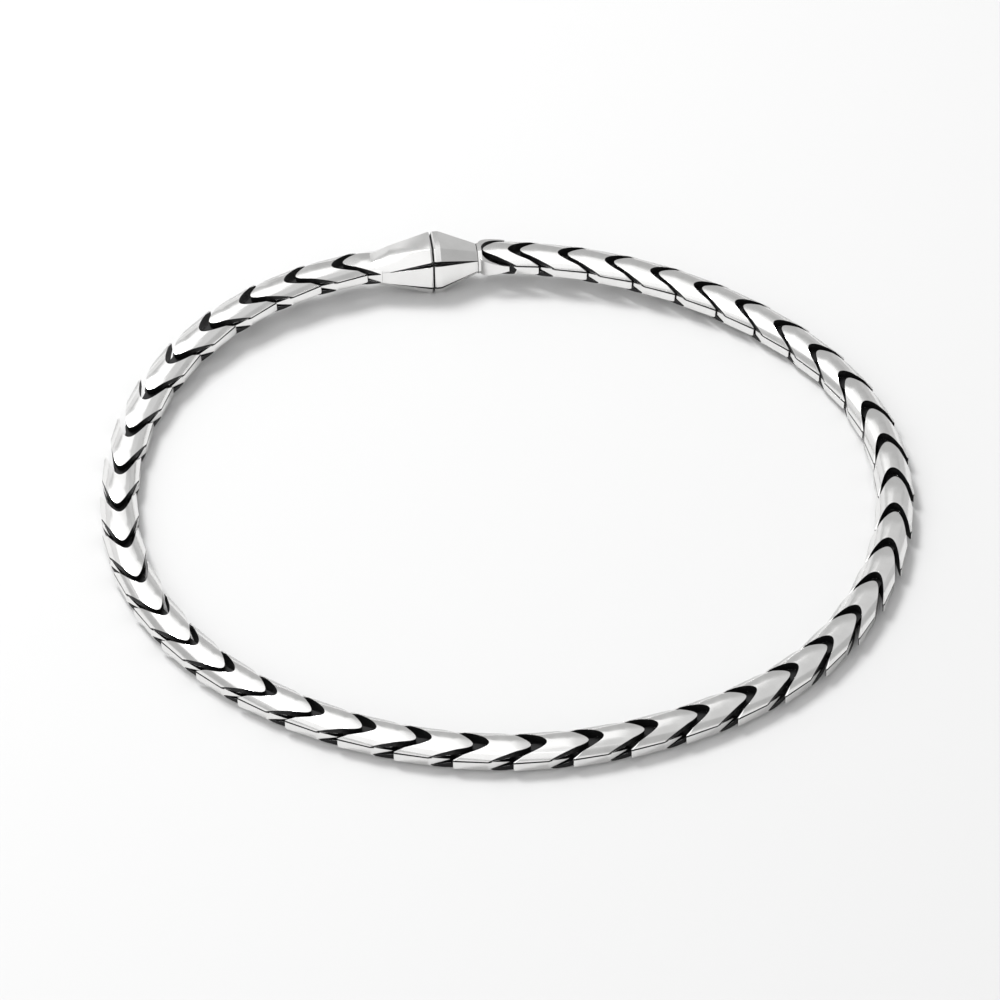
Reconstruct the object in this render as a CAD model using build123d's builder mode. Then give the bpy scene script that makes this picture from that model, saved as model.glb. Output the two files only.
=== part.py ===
from build123d import *
import math
import os

# Snake bracelet lying closed on a table, in millimetres, +Z up.
# The origin is the middle of its bounding box, on the table.
# A link's own frame: x runs clockwise along the chain with zero at the pin in its nose,
# y is sideways and z is zero at mid height.

os.makedirs("parts", exist_ok=True)

# Chain
link_count = 42
link_pitch = 4.5
link_width = 3.2
link_height = 2.2
flat_width = 1.0
side_height = 0.88
corner_bulge = 0.175

# Nose and prongs of a link
nose_setback = 1.0
nose_round = 0.62
shoulder_x = 2.4
apex_x = 2.4
prong_thickness = 0.14
tip_taper = 0.02
tip_height = 0.72
tip_slope = 1.2
nose_drop = 0.16
nose_drop_start = 1.4

# Hinge between two links
pin_radius = 0.22
pin_embed = 0.1
eye_from_tips = 0.7
tongue_root = 0.2
pin_clearance = 0.09
eye_play = 0.28
eye_wall = 0.17
tongue_width = 1.1
tongue_thickness = 0.62
slot_clearance = 0.13

# Black grooves between a link's petals
petal_tip_x = 0.66
petal_depth = 0.4
petal_root_back = 0.15
petal_root_lip = 0.03
groove_height = 0.15
groove_depth = 0.14

# Short link at the clasp's tail
end_nose_setback = 0.55
end_nose_round = 0.7
end_shoulder_x = 2.6
end_apex_x = 1.7

# Clasp
clasp_width = 4.2
clasp_height = 5.24
clasp_flat = 2.4
clasp_side = 2.4
clasp_groove_height = 0.4
clasp_groove_depth = 0.4
groove_end_share = 0.12
rise_x = 1.5
rise_width = 2.6
swell_x = 3.1
swell_width = 3.35
swell_height = 3.5
swell_flat = 1.5
swell_side = 1.3
seam_x = 6.95
seam_gap = 0.18
seam_bevel = 0.14
seam_ring_depth = 0.3
seam_ring_clearance = 0.08
tail_band = 0.6
tail_length = 4.4
tail_width = 2.2
tail_height = 2.5
tail_flat = 1.1
tail_side = 1.1
collar_length = 0.36
collar_lip = 0.09
tail_eye_x = 12.25
tail_prong_reach = 2.3
tail_prong_spread = 3.76
tail_prong_root = 1.7
tail_prong_height = 0.5
plug_radius = 1.2
plug_length = 3.2
plug_clearance = 0.15

# Route of the chain on the table, clockwise from the middle of the clasp
route_points = [
    (-6.9, 31.0),
    (7.4, 30.5),
    (20.4, 25.6),
    (29.7, 16.7),
    (33.8, 4.8),
    (32.2, -7.9),
    (25.5, -19.0),
    (14.2, -26.0),
    (0.6, -28.6),
    (-13.1, -25.7),
    (-24.4, -18.0),
    (-31.3, -6.7),
    (-32.6, 6.2),
    (-28.7, 18.2),
    (-19.8, 26.9),
]
# How far the links stand apart or together on the way round: waves, cosine and sine share
spacing_waves = [
    (1, -0.014, -0.035),
    (2, 0.006, -0.024),
    (3, -0.027, -0.017),
]
ramp_links = 8

bore_radius = pin_radius + pin_clearance
eye_radius = bore_radius + eye_play + eye_wall
slot_half = tongue_thickness / 2 + slot_clearance
pocket_radius = eye_radius + eye_play + slot_clearance
prong_reach = link_pitch + eye_from_tips - apex_x
tip_half = link_width / 2 - tip_taper
mouth_half = tip_half - prong_thickness


def ring_section(x, width, height, flat, side, bulge):
    """Closed outline square to x with a flat top, flat sides and four swelling corners."""
    with BuildSketch(Plane.YZ.offset(x)) as section:
        with BuildLine():
            for turn in (1, -1):
                Line((turn * flat / 2, turn * height / 2), (-turn * flat / 2, turn * height / 2))
                Line((-turn * width / 2, turn * side / 2), (-turn * width / 2, -turn * side / 2))
                SagittaArc((turn * width / 2, turn * side / 2), (turn * flat / 2, turn * height / 2), -bulge)
                SagittaArc((-turn * flat / 2, turn * height / 2), (-turn * width / 2, turn * side / 2), -bulge)
        make_face()
    return section.sketch


def petal_gap(end_x):
    """Wedges either side of the nose that leave an arrow-shaped side petal."""
    front = 2 * nose_setback
    with BuildPart() as gap:
        with BuildSketch(Plane.XZ):
            with BuildLine():
                Polyline(
                    (-front, slot_half),
                    (end_x, side_height / 2 - petal_root_lip),
                    (petal_tip_x, 0),
                    (end_x, -side_height / 2 + petal_root_lip),
                    (-front, -slot_half),
                    close=True,
                )
            make_face()
        extrude(amount=link_width, both=True)
        with BuildSketch():
            with BuildLine():
                Polyline(
                    (-front, 0),
                    (end_x, link_width / 2 - petal_depth),
                    (end_x + front, link_width / 2 - petal_depth),
                    (end_x + front, -link_width / 2 + petal_depth),
                    (end_x, -link_width / 2 + petal_depth),
                    close=True,
                )
            make_face()
        extrude(amount=link_height, both=True, mode=Mode.SUBTRACT)
    return gap.part


def hinge_slot():
    """Space in a nose for the tongue of the piece before it."""
    with BuildPart() as slot:
        with BuildSketch(Plane.XY.offset(-slot_half)):
            with Locations((petal_tip_x, 0)):
                Rectangle(2 * link_width, 2 * link_width, align=(Align.MAX, Align.CENTER))
            Circle(pocket_radius)
        extrude(amount=2 * slot_half)
    return slot.part


def hinge_tongue(start_x, centre_x):
    """Flat tongue ending in an eye, elongated inside for the play of the chain."""
    with BuildPart() as tongue:
        with BuildSketch(Plane.XY.offset(-tongue_thickness / 2)):
            with Locations((start_x, 0)):
                Rectangle(centre_x - start_x, tongue_width, align=(Align.MIN, Align.CENTER))
            with Locations((centre_x, 0)):
                Circle(eye_radius)
                SlotCenterToCenter(2 * eye_play, 2 * bore_radius, mode=Mode.SUBTRACT)
        extrude(amount=tongue_thickness)
    return tongue.part


def side_view(setback, shoulder, tip_x):
    """Side view of a link that gets lower towards the nose's tip and the prongs' tips."""
    half = link_height / 2
    start = shoulder * nose_drop_start / shoulder_x
    slope_x = tip_x - tip_slope
    with BuildSketch(Plane.XZ) as view:
        with BuildLine():
            Line((-setback, 0), (-setback, half - nose_drop))
            Bezier((-setback, half - nose_drop), ((start - setback) / 2, half), (start, half))
            Line((start, half), (slope_x, half))
            Line((slope_x, half), (tip_x + prong_thickness, tip_height / 2))
            Line((tip_x + prong_thickness, tip_height / 2), (tip_x + prong_thickness, 0))
            mirror(about=Plane.XZ)
        make_face()
    return view.sketch


def make_link(setback, nose, shoulder, apex):
    """One link: nose, shoulders, two prongs round the next nose, slot, pin and tongue."""
    half = link_width / 2
    tip_x = apex + prong_reach
    with BuildPart() as link:
        with BuildSketch():
            with BuildLine():
                Bezier((-setback, 0), (-setback, nose), (shoulder, half))
                Line((shoulder, half), (tip_x, tip_half))
                ThreePointArc(
                    (tip_x, tip_half),
                    (tip_x + prong_thickness / 2, (tip_half + mouth_half) / 2),
                    (tip_x, mouth_half),
                )
                Bezier((tip_x, mouth_half), (apex, mouth_half / 2), (apex, 0))
                mirror(about=Plane.XZ)
            make_face()
        extrude(amount=link_height / 2, both=True)
        profile = ring_section(-2 * setback, link_width, link_height, flat_width, side_height, corner_bulge)
        extrude(profile, amount=2 * (tip_x + setback), dir=(1, 0, 0), mode=Mode.INTERSECT)
        extrude(side_view(setback, shoulder, tip_x), amount=link_width, both=True, mode=Mode.INTERSECT)
        add(petal_gap(shoulder - petal_root_back), mode=Mode.SUBTRACT)
        add(hinge_slot(), mode=Mode.SUBTRACT)
        with BuildSketch(Plane.XY.offset(side_height / 2)):
            with BuildLine():
                Polyline(
                    (shoulder - 2 * petal_root_back, half - groove_depth),
                    (tip_x + prong_thickness, (tip_half + mouth_half) / 2),
                    (tip_x + prong_thickness, 2 * half),
                    (shoulder - 2 * petal_root_back, 2 * half),
                    close=True,
                )
            make_face()
            mirror(about=Plane.XZ)
        extrude(amount=-groove_height, mode=Mode.SUBTRACT)
        with BuildSketch():
            Circle(pin_radius)
        extrude(amount=slot_half + pin_embed, both=True)
        add(hinge_tongue(apex - tongue_root, tip_x - eye_from_tips))
    return link.part


link_shape = make_link(nose_setback, nose_round, shoulder_x, apex_x)
end_link_shape = make_link(end_nose_setback, end_nose_round, end_shoulder_x, end_apex_x)
end_pitch = end_apex_x + prong_reach - eye_from_tips

# Profiles of the clasp from nose to collar: width, height, flat, side and bulge
tail_start = seam_x + seam_gap
tail_end = tail_start + tail_length
small_bulge = 0.02
neck = (link_width, link_height, flat_width, side_height, corner_bulge)
rise = (rise_width, link_height, flat_width, side_height, corner_bulge)
swell = (swell_width, swell_height, swell_flat, swell_side, corner_bulge / 2)
widest = (clasp_width, clasp_height, clasp_flat, clasp_side, small_bulge)
bevelled = (clasp_width - seam_bevel, clasp_height - seam_bevel, clasp_flat, clasp_side, small_bulge)
head_profiles = [
    ring_section(rise_x, *rise),
    ring_section(swell_x, *swell),
    ring_section(seam_x - seam_bevel, *widest),
    ring_section(seam_x, *bevelled),
]
tail_profiles = [
    ring_section(tail_start, *bevelled),
    ring_section(tail_start + seam_bevel, *widest),
    ring_section(tail_start + tail_band, *widest),
    ring_section(tail_end - collar_length, tail_width, tail_height, tail_flat, tail_side, small_bulge),
]
collar_profile = ring_section(
    tail_end - collar_length,
    tail_width + 2 * collar_lip,
    tail_height + 2 * collar_lip,
    tail_flat,
    tail_side,
    small_bulge,
)


def corner_grooves(stations):
    """Black wedges above and below the side facets, from x, width, side and share of full size."""
    with BuildPart() as grooves:
        cuts = []
        for x, width, side, share in stations:
            floor = width / 2 - share * clasp_groove_depth
            top = side / 2 + share * clasp_groove_height
            with BuildSketch(Plane.YZ.offset(x), mode=Mode.PRIVATE) as cut:
                with BuildLine():
                    Polyline((floor, side / 2), (width, side / 2), (width, top), (floor, top), close=True)
                make_face()
            cuts.append(cut.sketch)
        loft(cuts, ruled=True)
        mirror(about=Plane.XY)
        mirror(about=Plane.XZ)
    return grooves.part


# Front half of the clasp: a link's nose growing into a tall faceted barrel with a socket
with BuildPart() as head_shape:
    with BuildSketch():
        with BuildLine():
            Bezier((-nose_setback, 0), (-nose_setback, nose_round), (shoulder_x, link_width / 2))
            Line((shoulder_x, link_width / 2), (shoulder_x, 0))
            mirror(about=Plane.XZ)
        make_face()
    extrude(amount=link_height / 2, both=True)
    nose_profile = ring_section(-2 * nose_setback, *neck)
    extrude(nose_profile, amount=2 * (shoulder_x + nose_setback), dir=(1, 0, 0), mode=Mode.INTERSECT)
    extrude(side_view(nose_setback, shoulder_x, apex_x + prong_reach), amount=link_width, both=True, mode=Mode.INTERSECT)
    loft(head_profiles, ruled=True)
    add(petal_gap(shoulder_x - petal_root_back), mode=Mode.SUBTRACT)
    add(hinge_slot(), mode=Mode.SUBTRACT)
    with BuildSketch():
        Circle(pin_radius)
    extrude(amount=slot_half + pin_embed, both=True)
    with BuildSketch(Plane.YZ.offset(seam_x)):
        Circle(plug_radius + plug_clearance)
    extrude(amount=-plug_length - plug_clearance, mode=Mode.SUBTRACT)
    head_groove = [
        (swell_x, swell_width, swell_side, groove_end_share),
        (seam_x, clasp_width, clasp_side, 1),
    ]
    add(corner_grooves(head_groove), mode=Mode.SUBTRACT)

# Two thin prongs at the clasp's rear end that flare round the blunt nose of the end link
with BuildPart() as tail_prongs:
    tip_x = tail_end + tail_prong_reach
    root_x = tail_end - collar_length / 2
    outer_half = tail_prong_spread / 2
    inner_half = outer_half - prong_thickness
    with BuildSketch():
        with BuildLine():
            Line((root_x, 0), (root_x, tail_width / 2))
            Bezier((root_x, tail_width / 2), (tail_end + prong_thickness, outer_half), (tip_x, outer_half))
            ThreePointArc(
                (tip_x, outer_half),
                (tip_x + prong_thickness / 2, (outer_half + inner_half) / 2),
                (tip_x, inner_half),
            )
            Bezier((tip_x, inner_half), (tail_end, inner_half), (tail_end, 0))
            mirror(about=Plane.XZ)
        make_face()
    extrude(amount=tail_prong_root / 2, both=True)
    with BuildSketch(Plane.XZ) as prong_side:
        with BuildLine():
            Polyline(
                (root_x, tail_prong_root / 2),
                (tail_end, tail_prong_root / 2),
                (tip_x + prong_thickness, tail_prong_height / 2),
                (tip_x + prong_thickness, -tail_prong_height / 2),
                (tail_end, -tail_prong_root / 2),
                (root_x, -tail_prong_root / 2),
                close=True,
            )
        make_face()
    extrude(prong_side.sketch, amount=tail_prong_spread, both=True, mode=Mode.INTERSECT)

# Rear half of the clasp: a tapering barrel with the plug, a collar, the prongs and a tongue
with BuildPart() as tail_shape:
    loft(tail_profiles, ruled=True)
    extrude(collar_profile, amount=collar_length, dir=(1, 0, 0))
    seam_ring = ring_section(
        tail_start,
        clasp_width - 2 * seam_ring_depth,
        clasp_height - 2 * seam_ring_depth,
        clasp_flat,
        clasp_side,
        small_bulge,
    )
    extrude(seam_ring, amount=seam_gap - seam_ring_clearance, dir=(-1, 0, 0))
    with BuildSketch(Plane.YZ.offset(tail_start)):
        Circle(plug_radius)
    extrude(amount=-plug_length)
    tail_groove = [
        (tail_start, clasp_width, clasp_side, 1),
        (tail_start + tail_band, clasp_width, clasp_side, 1),
        (tail_end - collar_length, tail_width, tail_side, groove_end_share),
    ]
    add(corner_grooves(tail_groove), mode=Mode.SUBTRACT)
    add(tail_prongs.part)
    add(hinge_tongue(tail_end - tongue_root, tail_eye_x))

# Places of the pins along the route, counted from the middle of the clasp
with BuildLine() as route_line:
    Spline(*route_points, periodic=True)
route = route_line.line.edges()[0]

spacings = [end_pitch]
for step in range(link_count - 1):
    angle = 2 * math.pi * (step + 0.5) / link_count
    play = sum(c * math.cos(waves * angle) + s * math.sin(waves * angle) for waves, c, s in spacing_waves)
    spacings.append(link_pitch * (1 + play))
chain_length = sum(spacings)


def route_point(distance, total):
    """Point of the route, scaled so that it is as long as the closed chain."""
    share = (distance / total) % 1
    return route.position_at(share * route.length, PositionMode.LENGTH) * (total / route.length)


clasp_arc = tail_eye_x
for _ in range(3):
    total_length = chain_length + clasp_arc
    span = route_point(-clasp_arc / 2, total_length) - route_point(clasp_arc / 2, total_length)
    clasp_arc += tail_eye_x - span.length
total_length = chain_length + clasp_arc

ramp_length = ramp_links * link_pitch
ramp_height = (clasp_height - link_height) / 2


def pin_point(distance):
    """Pin at mid height of the chain, lifted near the clasp, which is taller than the links."""
    from_clasp = min(distance, chain_length - distance)
    share = min(max(from_clasp, 0) / ramp_length, 1)
    lift = ramp_height * (0.5 + 0.5 * math.cos(math.pi * share))
    flat = route_point(clasp_arc / 2 + distance, total_length)
    return Vector(flat.X, flat.Y, link_height / 2 + lift)


def frame_between(start, end):
    """Frame at start with x towards end and y level."""
    along = (end - start).normalized()
    sideways = Vector(0, 0, 1).cross(along).normalized()
    return Plane(origin=start, x_dir=along, z_dir=along.cross(sideways)).location


pins = [pin_point(sum(spacings[:count])) for count in range(link_count + 1)]
placed = []
for number in range(link_count):
    shape = end_link_shape if number == 0 else link_shape
    placed.append((f"link_{number + 1:02d}", frame_between(pins[number], pins[number + 1]) * shape))
clasp_frame = frame_between(pins[-1], pins[0])
placed.append(("clasp_head", clasp_frame * head_shape.part))
placed.append(("clasp_tail", clasp_frame * tail_shape.part))

box = Compound([shape for _, shape in placed]).bounding_box()
to_origin = Location((-(box.min.X + box.max.X) / 2, -(box.min.Y + box.max.Y) / 2, -box.min.Z))
for label, shape in placed:
    with BuildPart() as piece:
        add(to_origin * shape)
    piece.part.label = label
    export_step(piece.part, f"parts/{label}.step")
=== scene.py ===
import math

import bmesh
import bpy
import numpy as np
from mathutils import Matrix, Vector


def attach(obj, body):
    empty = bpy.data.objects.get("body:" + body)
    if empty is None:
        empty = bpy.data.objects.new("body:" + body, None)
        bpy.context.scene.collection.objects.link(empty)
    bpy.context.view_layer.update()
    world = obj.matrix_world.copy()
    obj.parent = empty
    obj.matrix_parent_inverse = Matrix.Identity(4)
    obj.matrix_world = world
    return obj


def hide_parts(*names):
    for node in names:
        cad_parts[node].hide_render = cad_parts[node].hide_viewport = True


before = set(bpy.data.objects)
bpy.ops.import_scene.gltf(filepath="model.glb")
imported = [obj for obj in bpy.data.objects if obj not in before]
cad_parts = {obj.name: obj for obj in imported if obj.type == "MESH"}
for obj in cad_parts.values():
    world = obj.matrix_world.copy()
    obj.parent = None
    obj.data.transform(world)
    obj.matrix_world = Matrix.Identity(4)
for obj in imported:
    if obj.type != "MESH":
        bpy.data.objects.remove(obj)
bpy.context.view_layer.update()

MM = 0.001

# Chain links. The real ones are cast and pressed sterling silver, each with a pointed nose
# split into four petals and two prongs round the next nose. They were dipped black and then
# polished, so that the silver is bright outside; the black on every other face is oxide and painted
# shade, where the gaps lie in shadow.
LINK_COUNT = 42
PATTERN_LINK = "link_23"
LINK_HALF_WIDTH = 1.6 * MM
LINK_SIDE_HALF = 0.44 * MM
LINK_NOSE_SETBACK = 1.0 * MM
LINK_NOSE_LENGTH = 3.4 * MM
LINK_NOSE_ROUND = 0.62 * MM
LINK_TIP_TAPER = 0.02 * MM
PETAL_SHOWS_FROM = 0.7 * MM
# How far a face's middle may lie inside the outer surface and still be polished
SIDE_SLACK = 0.01 * MM
OUTLINE_SLACK = 0.04 * MM
# How far a face may lean and still count as upright, and as turned sideways
UPRIGHT_LIMIT = 0.12
SIDEWAYS_LIMIT = 0.2

WELD_DISTANCE = 0.0005 * MM
SAME_PLANE_ANGLE = math.radians(0.3)
SHARP_ANGLE = math.radians(32)
LINK_EDGE_ROUNDING = 0.03 * MM
EDGE_SEGMENTS = 2

LINK_CROWN_RADIUS = 4.5 * MM
LINK_ROUGHNESS = (0.15, 0.22)
LINK_PATCH_SCALE = 600.0
SCRATCH_SCALE = 5000.0
SCRATCH_STRETCH = (0.08, 1.0, 1.0)
SCRATCH_STRENGTH = 0.05
SCRATCH_DEPTH = 0.02 * MM
SILVER_COLOUR = (0.87, 0.867, 0.86, 1.0)
SILVER_SHADE = (0.82, 0.816, 0.808, 1.0)
SHADE_PATCHES = (0.35, 0.6)
ROUGH_PATCHES = (0.3, 0.7)
# Black of the gaps: part oxide, part painted shade where the gaps between links lie in shadow
OXIDE_AND_SHADE_COLOUR = (0.004, 0.004, 0.0045, 1.0)
RUBBED_OXIDE_AND_SHADE = (0.03, 0.029, 0.028, 1.0)
OXIDE_AND_SHADE_ROUGHNESS = 0.55
OXIDE_AND_SHADE_GLOSS = 0.3
OXIDE_AND_SHADE_PATCH_SCALE = 1500.0
RUBBED_PATCHES = (0.56, 0.75)


def polish_group():
    """Wear of polished silver: hair scratches along the piece and clouded patches."""
    group = bpy.data.node_groups.new("silver_polish", "ShaderNodeTree")
    face = group.interface
    scale = face.new_socket("Patch Scale", in_out="INPUT", socket_type="NodeSocketFloat")
    scale.default_value = LINK_PATCH_SCALE
    hair = face.new_socket("Scratch Scale", in_out="INPUT", socket_type="NodeSocketFloat")
    hair.default_value = SCRATCH_SCALE
    face.new_socket("Patches", in_out="OUTPUT", socket_type="NodeSocketFloat")
    face.new_socket("Scratches", in_out="OUTPUT", socket_type="NodeSocketFloat")
    nodes, links = group.nodes, group.links
    given = nodes.new("NodeGroupInput")
    made = nodes.new("NodeGroupOutput")
    place = nodes.new("ShaderNodeTexCoord")
    cloud = nodes.new("ShaderNodeTexNoise")
    cloud.inputs["Detail"].default_value = 4.0
    links.new(place.outputs["Object"], cloud.inputs["Vector"])
    links.new(given.outputs["Patch Scale"], cloud.inputs["Scale"])
    stretch = nodes.new("ShaderNodeMapping")
    stretch.inputs["Scale"].default_value = SCRATCH_STRETCH
    links.new(place.outputs["Object"], stretch.inputs["Vector"])
    scratch = nodes.new("ShaderNodeTexNoise")
    scratch.inputs["Detail"].default_value = 3.0
    links.new(stretch.outputs["Vector"], scratch.inputs["Vector"])
    links.new(given.outputs["Scratch Scale"], scratch.inputs["Scale"])
    links.new(cloud.outputs["Fac"], made.inputs["Patches"])
    links.new(scratch.outputs["Fac"], made.inputs["Scratches"])
    return group


POLISH = polish_group()


def crown_group():
    """Height of a face pressed very slightly domed across its width: -y² / 2 / radius."""
    group = bpy.data.node_groups.new("pressed_crown", "ShaderNodeTree")
    face = group.interface
    face.new_socket("Crown Radius", in_out="INPUT", socket_type="NodeSocketFloat")
    face.new_socket("Height", in_out="OUTPUT", socket_type="NodeSocketFloat")
    nodes, links = group.nodes, group.links
    given = nodes.new("NodeGroupInput")
    made = nodes.new("NodeGroupOutput")
    place = nodes.new("ShaderNodeTexCoord")
    parts = nodes.new("ShaderNodeSeparateXYZ")
    links.new(place.outputs["Object"], parts.inputs["Vector"])
    square = nodes.new("ShaderNodeMath")
    square.operation = "MULTIPLY"
    links.new(parts.outputs["Y"], square.inputs[0])
    links.new(parts.outputs["Y"], square.inputs[1])
    drop = nodes.new("ShaderNodeMath")
    drop.operation = "DIVIDE"
    links.new(square.outputs["Value"], drop.inputs[0])
    links.new(given.outputs["Crown Radius"], drop.inputs[1])
    half = nodes.new("ShaderNodeMath")
    half.operation = "MULTIPLY"
    half.inputs[1].default_value = -0.5
    links.new(drop.outputs["Value"], half.inputs[0])
    links.new(half.outputs["Value"], made.inputs["Height"])
    return group


CROWN = crown_group()


def silver_material(name, roughness, patch_scale, crown_radius):
    """Polished sterling silver, a little cloudy, with hair scratches."""
    material = bpy.data.materials.new(name)
    material.use_nodes = True
    nodes, links = material.node_tree.nodes, material.node_tree.links
    shader = nodes["Principled BSDF"]
    shader.inputs["Metallic"].default_value = 1.0
    wear = nodes.new("ShaderNodeGroup")
    wear.node_tree = POLISH
    wear.inputs["Patch Scale"].default_value = patch_scale
    colour = nodes.new("ShaderNodeMix")
    colour.data_type = "RGBA"
    colour.inputs["A"].default_value = SILVER_SHADE
    colour.inputs["B"].default_value = SILVER_COLOUR
    spread = nodes.new("ShaderNodeMapRange")
    spread.inputs["From Min"].default_value, spread.inputs["From Max"].default_value = SHADE_PATCHES
    links.new(wear.outputs["Patches"], spread.inputs["Value"])
    links.new(spread.outputs["Result"], colour.inputs["Factor"])
    links.new(colour.outputs["Result"], shader.inputs["Base Color"])
    rough = nodes.new("ShaderNodeMapRange")
    rough.inputs["From Min"].default_value, rough.inputs["From Max"].default_value = ROUGH_PATCHES
    rough.inputs["To Min"].default_value, rough.inputs["To Max"].default_value = roughness
    links.new(wear.outputs["Patches"], rough.inputs["Value"])
    links.new(rough.outputs["Result"], shader.inputs["Roughness"])
    dome = nodes.new("ShaderNodeGroup")
    dome.node_tree = CROWN
    dome.inputs["Crown Radius"].default_value = crown_radius
    press = nodes.new("ShaderNodeBump")
    press.inputs["Strength"].default_value = 1.0
    press.inputs["Distance"].default_value = 1.0
    links.new(dome.outputs["Height"], press.inputs["Height"])
    bump = nodes.new("ShaderNodeBump")
    bump.inputs["Strength"].default_value = SCRATCH_STRENGTH
    bump.inputs["Distance"].default_value = SCRATCH_DEPTH
    links.new(wear.outputs["Scratches"], bump.inputs["Height"])
    links.new(press.outputs["Normal"], bump.inputs["Normal"])
    links.new(bump.outputs["Normal"], shader.inputs["Normal"])
    return material


def oxide_and_shade_material():
    """Black sulphide and painted shade in the gaps, rubbed a little greyer in places."""
    material = bpy.data.materials.new("oxide_and_painted_shade")
    material.use_nodes = True
    nodes, links = material.node_tree.nodes, material.node_tree.links
    shader = nodes["Principled BSDF"]
    shader.inputs["Roughness"].default_value = OXIDE_AND_SHADE_ROUGHNESS
    shader.inputs["Specular IOR Level"].default_value = OXIDE_AND_SHADE_GLOSS
    wear = nodes.new("ShaderNodeGroup")
    wear.node_tree = POLISH
    wear.inputs["Patch Scale"].default_value = OXIDE_AND_SHADE_PATCH_SCALE
    rubbed = nodes.new("ShaderNodeMapRange")
    rubbed.inputs["From Min"].default_value, rubbed.inputs["From Max"].default_value = RUBBED_PATCHES
    colour = nodes.new("ShaderNodeMix")
    colour.data_type = "RGBA"
    colour.inputs["A"].default_value = OXIDE_AND_SHADE_COLOUR
    colour.inputs["B"].default_value = RUBBED_OXIDE_AND_SHADE
    links.new(wear.outputs["Patches"], rubbed.inputs["Value"])
    links.new(rubbed.outputs["Result"], colour.inputs["Factor"])
    links.new(colour.outputs["Result"], shader.inputs["Base Color"])
    return material


LINK_SILVER = silver_material("polished_silver", LINK_ROUGHNESS, LINK_PATCH_SCALE, LINK_CROWN_RADIUS)
# The gap black: oxide, and painted shade in every gap
OXIDE_AND_PAINTED_SHADE = oxide_and_shade_material()


def node_frame(node, lowest_x):
    """Frame of a CAD piece: z up out of its flat top, x clockwise round the bracelet.

    The piece's longest axis of inertia is x, and its lowest point along it is at lowest_x.
    """
    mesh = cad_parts[node].data
    mesh.calc_loop_triangles()
    points = np.array([v.co[:] for v in mesh.vertices])
    a, b, c = (points[[t.vertices[k] for t in mesh.loop_triangles]] for k in range(3))
    volume = np.einsum("ij,ij->i", a, np.cross(b, c)) / 6
    total = volume.sum()
    corner_sum = a + b + c
    centre = (volume[:, None] * corner_sum).sum(0) / 4 / total
    moments = sum(np.einsum("i,ij,ik->jk", volume, p, p) for p in (a, b, c, corner_sum)) / 20
    spread, axes = np.linalg.eigh(moments / total - np.outer(centre, centre))
    longest = np.argmax(spread)
    along = Vector(axes[:, longest])
    if along.dot(Vector((centre[1], -centre[0], 0))) < 0:
        along = -along
    others = [Vector(axes[:, k]) for k in range(3) if k != longest]
    up = max(others, key=lambda axis: abs(axis.z))
    up = up if up.z > 0 else -up
    across = up.cross(along)
    start = (points - centre) @ np.array(along)
    origin = Vector(centre) + along * (start.min() - lowest_x)
    turn = Matrix((along, across, up)).transposed().to_4x4()
    return Matrix.Translation(origin) @ turn


def surface_mesh(name, node, place, is_polished, silver, crease=SHARP_ANGLE):
    """A CAD piece's surface in its own frame, with flat faces made whole and the gaps painted black
    with oxide and painted shade.
    """
    mesh = bpy.data.meshes.new(name)
    shape = bmesh.new()
    shape.from_mesh(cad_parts[node].data)
    shape.transform(place.inverted())
    bmesh.ops.remove_doubles(shape, verts=shape.verts, dist=WELD_DISTANCE)
    bmesh.ops.dissolve_limit(
        shape, angle_limit=SAME_PLANE_ANGLE, verts=shape.verts, edges=shape.edges
    )
    bmesh.ops.recalc_face_normals(shape, faces=shape.faces)
    for face in shape.faces:
        face.smooth = True
        # Faces off the polished outside get the oxide and painted shade
        face.material_index = 0 if is_polished(face.calc_center_median(), face.normal) else 1
    for edge in shape.edges:
        if len(edge.link_faces) == 2:
            edge.smooth = edge.calc_face_angle(0) < crease
    shape.to_mesh(mesh)
    shape.free()
    mesh.materials.append(silver)
    mesh.materials.append(OXIDE_AND_PAINTED_SHADE)
    return mesh


def add_piece(name, mesh, place, node, rounding):
    """A finished piece in place of its CAD node, with its sharp edges broken."""
    piece = bpy.data.objects.new(name, mesh)
    bpy.context.scene.collection.objects.link(piece)
    piece.matrix_world = place
    edge = piece.modifiers.new("broken_edges", "BEVEL")
    edge.width = rounding
    edge.segments = EDGE_SEGMENTS
    edge.limit_method = "ANGLE"
    edge.angle_limit = SHARP_ANGLE
    edge.material = 0
    edge.harden_normals = True
    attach(piece, "root")
    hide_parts(node)
    return piece


def faces_up_or_down(centre, normal):
    """True on a face of the upper half that looks up, or of the lower half that looks down."""
    return normal.z * math.copysign(1, centre.z) > UPRIGHT_LIMIT


def link_is_polished(centre, normal):
    """True on the outside of a link, where the polishing wheel reached; every other face gets the
    oxide and painted shade.
    """
    if abs(centre.z) > LINK_SIDE_HALF - SIDE_SLACK and faces_up_or_down(centre, normal):
        return True
    faces_in = normal.y * centre.y <= 0
    if faces_in or abs(normal.y) < SIDEWAYS_LIMIT or abs(normal.z) > UPRIGHT_LIMIT:
        return False
    share = math.sqrt(max(centre.x + LINK_NOSE_SETBACK, 0) / LINK_NOSE_LENGTH)
    if share < 1:
        outline = 2 * share * (1 - share) * LINK_NOSE_ROUND + share**2 * LINK_HALF_WIDTH
    else:
        outline = LINK_HALF_WIDTH - LINK_TIP_TAPER
    on_outline = abs(centre.y) > outline - OUTLINE_SLACK
    return on_outline and abs(centre.z) < LINK_SIDE_HALF and centre.x > PETAL_SHOWS_FROM


link_names = [f"link_{number:02d}" for number in range(2, LINK_COUNT + 1)]
link_place = {name: node_frame(name, -LINK_NOSE_SETBACK) for name in link_names}
link_mesh = surface_mesh(
    "silver_link", PATTERN_LINK, link_place[PATTERN_LINK], link_is_polished, LINK_SILVER
)
for node, place in link_place.items():
    add_piece(f"silver_{node}", link_mesh, place, node, LINK_EDGE_ROUNDING)

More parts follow.
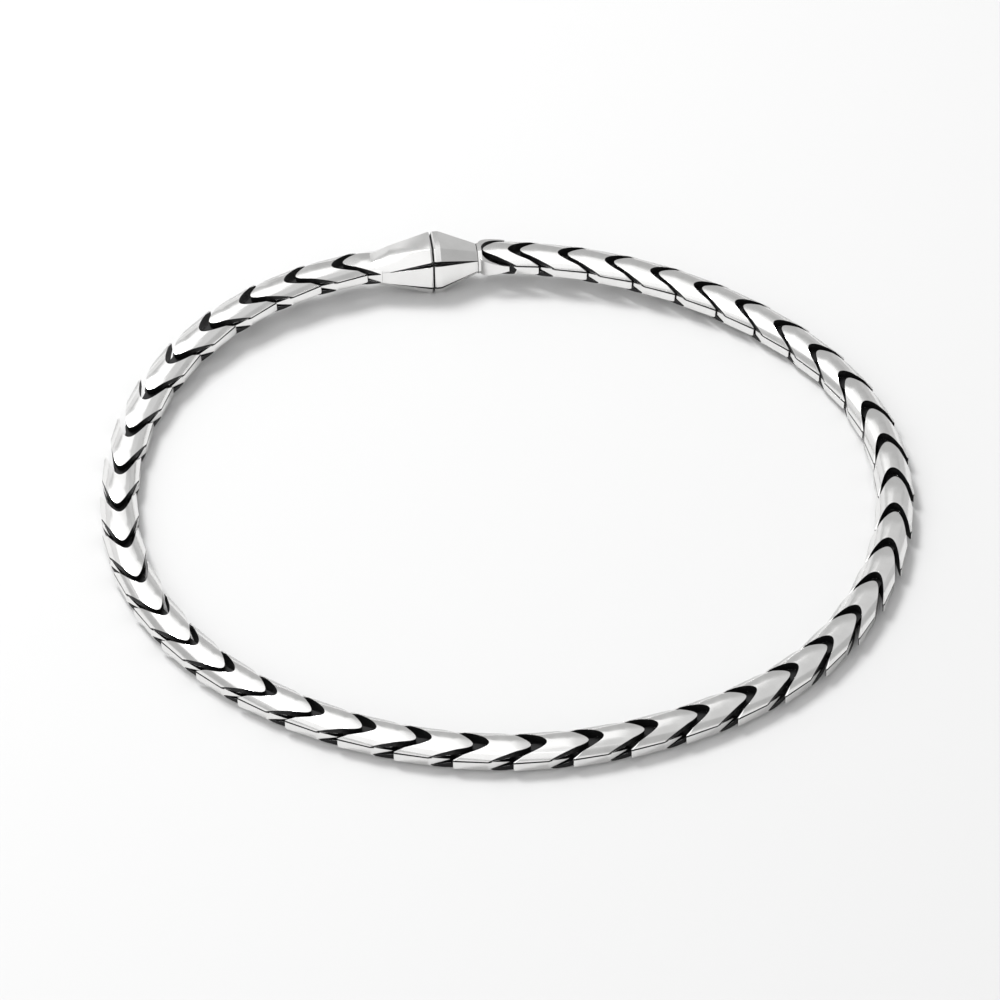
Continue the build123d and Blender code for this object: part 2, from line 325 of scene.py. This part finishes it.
# End link. A shorter silver link with a shorter nose, cast, blackened and polished as the
# others are, with oxide and painted shade in its gaps, that the clasp's rear half holds on a
# tongue between two thin prongs.
END_NOSE_SETBACK = 0.55 * MM
end_place = node_frame("link_01", -END_NOSE_SETBACK)
end_mesh = surface_mesh("silver_end_link", "link_01", end_place, link_is_polished, LINK_SILVER)
add_piece("silver_link_01", end_mesh, end_place, "link_01", LINK_EDGE_ROUNDING)

# Spindle clasp. Two eight-sided silver barrels that meet in a seam painted black with the oxide and
# painted shade; the front one starts as a link's nose and the rear one ends in a collar. They are
# filed flat and polished, with oxide and painted shade in the wedges cut under their corners.
CLASP_EDGE_ROUNDING = 0.03 * MM
CLASP_CREASE_ANGLE = math.radians(12)
CLASP_CROWN_RADIUS = 30.0 * MM
CLASP_ROUGHNESS = (0.14, 0.2)
CLASP_PATCH_SCALE = 400.0
CLASP_SILVER = silver_material(
    "filed_silver", CLASP_ROUGHNESS, CLASP_PATCH_SCALE, CLASP_CROWN_RADIUS
)
HEAD_LOWEST_X = -1.0 * MM
BARREL_START = 2.3 * MM
HEAD_END_FACE = 0.9
SEAM_X = 7.12 * MM
TAIL_LOWEST_X = 3.93 * MM
TAIL_END = 11.53 * MM
TAIL_END_FACE = 0.95
COLLAR_LENGTH = 0.35 * MM
PRONG_TOP_FROM = 0.32 * MM
PRONG_SIDE_FROM = 0.9 * MM
PRONG_FACES_IN = -0.1
GROOVE_WALL_FROM = 0.6 * MM
GROOVE_WALL_TOP = 1.62 * MM
GROOVE_FLAT_LIMIT = 0.97
GROOVE_UPRIGHT_LIMIT = 0.05


def in_corner_groove(centre, normal):
    """True on the walls of the wedges cut under the barrel's upper and lower corners, painted black
    with the oxide and painted shade.
    """
    height = abs(centre.z)
    flat_wall = abs(normal.z) > GROOVE_FLAT_LIMIT and height < GROOVE_WALL_TOP
    is_upright = abs(normal.z) < GROOVE_UPRIGHT_LIMIT
    upright_wall = is_upright and GROOVE_WALL_FROM < height < GROOVE_WALL_TOP
    return flat_wall or upright_wall


def head_is_polished(centre, normal):
    """True on the barrel's outer facets and on the petals."""
    if centre.x > BARREL_START:
        # Facets turned along the barrel, such as its seam face, get the oxide and painted shade
        return abs(normal.x) < HEAD_END_FACE and not in_corner_groove(centre, normal)
    return link_is_polished(centre, normal)


def tail_is_polished(centre, normal):
    """True on the barrel, the collar and the outside of the prongs."""
    if centre.x > TAIL_END:
        on_top = abs(centre.z) > PRONG_TOP_FROM and faces_up_or_down(centre, normal)
        faces_out = normal.y * math.copysign(1, centre.y) > PRONG_FACES_IN
        is_upright = abs(normal.z) < UPRIGHT_LIMIT
        on_side = abs(centre.y) > PRONG_SIDE_FROM and is_upright and faces_out
        return on_top or on_side
    # Corner wedges, seam faces and faces turned along the barrel get the oxide and painted shade
    if centre.x < TAIL_END - COLLAR_LENGTH and in_corner_groove(centre, normal):
        return False
    return centre.x > SEAM_X and abs(normal.x) < TAIL_END_FACE


for node, lowest_x, test in (
    ("clasp_head", HEAD_LOWEST_X, head_is_polished),
    ("clasp_tail", TAIL_LOWEST_X, tail_is_polished),
):
    place = node_frame(node, lowest_x)
    mesh = surface_mesh(
        f"silver_{node}_mesh", node, place, test, CLASP_SILVER, CLASP_CREASE_ANGLE
    )
    add_piece(f"silver_{node}", mesh, place, node, CLASP_EDGE_ROUNDING)

# Table and light. A matt white sheet under a wide soft overhead light, with softer panels
# round it and a pale room behind, as in a small product tent.
FLOOR_HALF = 2.0
SHEET_COLOUR = (0.605, 0.605, 0.605, 1.0)
SHEET_ROUGHNESS = 0.9
ROOM_COLOUR = (1.0, 1.0, 1.0, 1.0)
ROOM_STRENGTH = 0.5
floor_mesh = bpy.data.meshes.new("table_sheet")
floor_mesh.from_pydata(
    [
        (-FLOOR_HALF, -FLOOR_HALF, 0),
        (FLOOR_HALF, -FLOOR_HALF, 0),
        (FLOOR_HALF, FLOOR_HALF, 0),
        (-FLOOR_HALF, FLOOR_HALF, 0),
    ],
    [],
    [(0, 1, 2, 3)],
)
floor = bpy.data.objects.new("table_sheet", floor_mesh)
bpy.context.scene.collection.objects.link(floor)
sheet = bpy.data.materials.new("white_sheet")
sheet.use_nodes = True
sheet_shader = sheet.node_tree.nodes["Principled BSDF"]
sheet_shader.inputs["Base Color"].default_value = SHEET_COLOUR
sheet_shader.inputs["Roughness"].default_value = SHEET_ROUGHNESS
floor_mesh.materials.append(sheet)

# Name, place, aim, width, depth and power of each light
LIGHTS = (
    ("overhead_softbox", (-0.21, 0.03, 0.32), (-0.21, 0.03, 0.0), 0.51, 0.66, 0.72),
    ("back_softbox", (-0.2, 0.2, 0.5), (0.0, 0.0, 0.0), 0.2, 0.2, 2.6),
    ("fill_panel", (0.3, 0.03, 0.32), (0.3, 0.03, 0.0), 0.51, 0.66, 0.21),
    ("left_back_panel", (-0.45, 0.5, 0.19), (0.0, 0.0, 0.02), 0.72, 0.34, 0.28),
    ("right_back_panel", (0.45, 0.5, 0.19), (0.0, 0.0, 0.02), 0.72, 0.34, 0.08),
    ("front_softbox", (-0.314, -0.777, 0.545), (0.0, 0.0, 0.0), 1.3, 0.95, 2.3),
)
for name, spot, aim, width, depth, power in LIGHTS:
    lamp = bpy.data.lights.new(name, "AREA")
    lamp.shape = "RECTANGLE"
    lamp.size = width
    lamp.size_y = depth
    lamp.energy = power
    lamp_object = bpy.data.objects.new(name, lamp)
    lamp_object.location = spot
    facing = (Vector(aim) - Vector(spot)).to_track_quat("-Z", "Y")
    lamp_object.rotation_euler = facing.to_euler()
    bpy.context.scene.collection.objects.link(lamp_object)

world = bpy.data.worlds.new("studio")
world.use_nodes = True
world.node_tree.nodes["Background"].inputs["Color"].default_value = ROOM_COLOUR
world.node_tree.nodes["Background"].inputs["Strength"].default_value = ROOM_STRENGTH
bpy.context.scene.world = world
bpy.context.scene.view_settings.view_transform = "Standard"

# Camera at the photograph's angle: high in front of the bracelet, on the side away from the
# clasp, with a long lens.
CAMERA_HEIGHT_ANGLE = math.radians(43.68)
CAMERA_DISTANCE = 0.405
CAMERA_ROLL = math.radians(-0.61)
CAMERA_LENS = 170.3
CAMERA_SENSOR = 36.0
CAMERA_TARGET = Vector((-0.58, -1.58, 2.2)) * MM
camera = bpy.data.cameras.new("camera")
camera.lens = CAMERA_LENS
camera.sensor_width = CAMERA_SENSOR
camera.clip_start = 0.01
camera.clip_end = 10.0
camera_object = bpy.data.objects.new("camera", camera)
bpy.context.scene.collection.objects.link(camera_object)
back = Vector((0, -math.cos(CAMERA_HEIGHT_ANGLE), math.sin(CAMERA_HEIGHT_ANGLE)))
camera_place = Matrix.Translation(CAMERA_TARGET + back * CAMERA_DISTANCE)
camera_turn = (-back).to_track_quat("-Z", "Y").to_matrix().to_4x4()
camera_roll = Matrix.Rotation(CAMERA_ROLL, 4, "Z")
camera_object.matrix_world = camera_place @ camera_turn @ camera_roll
bpy.context.scene.camera = camera_object
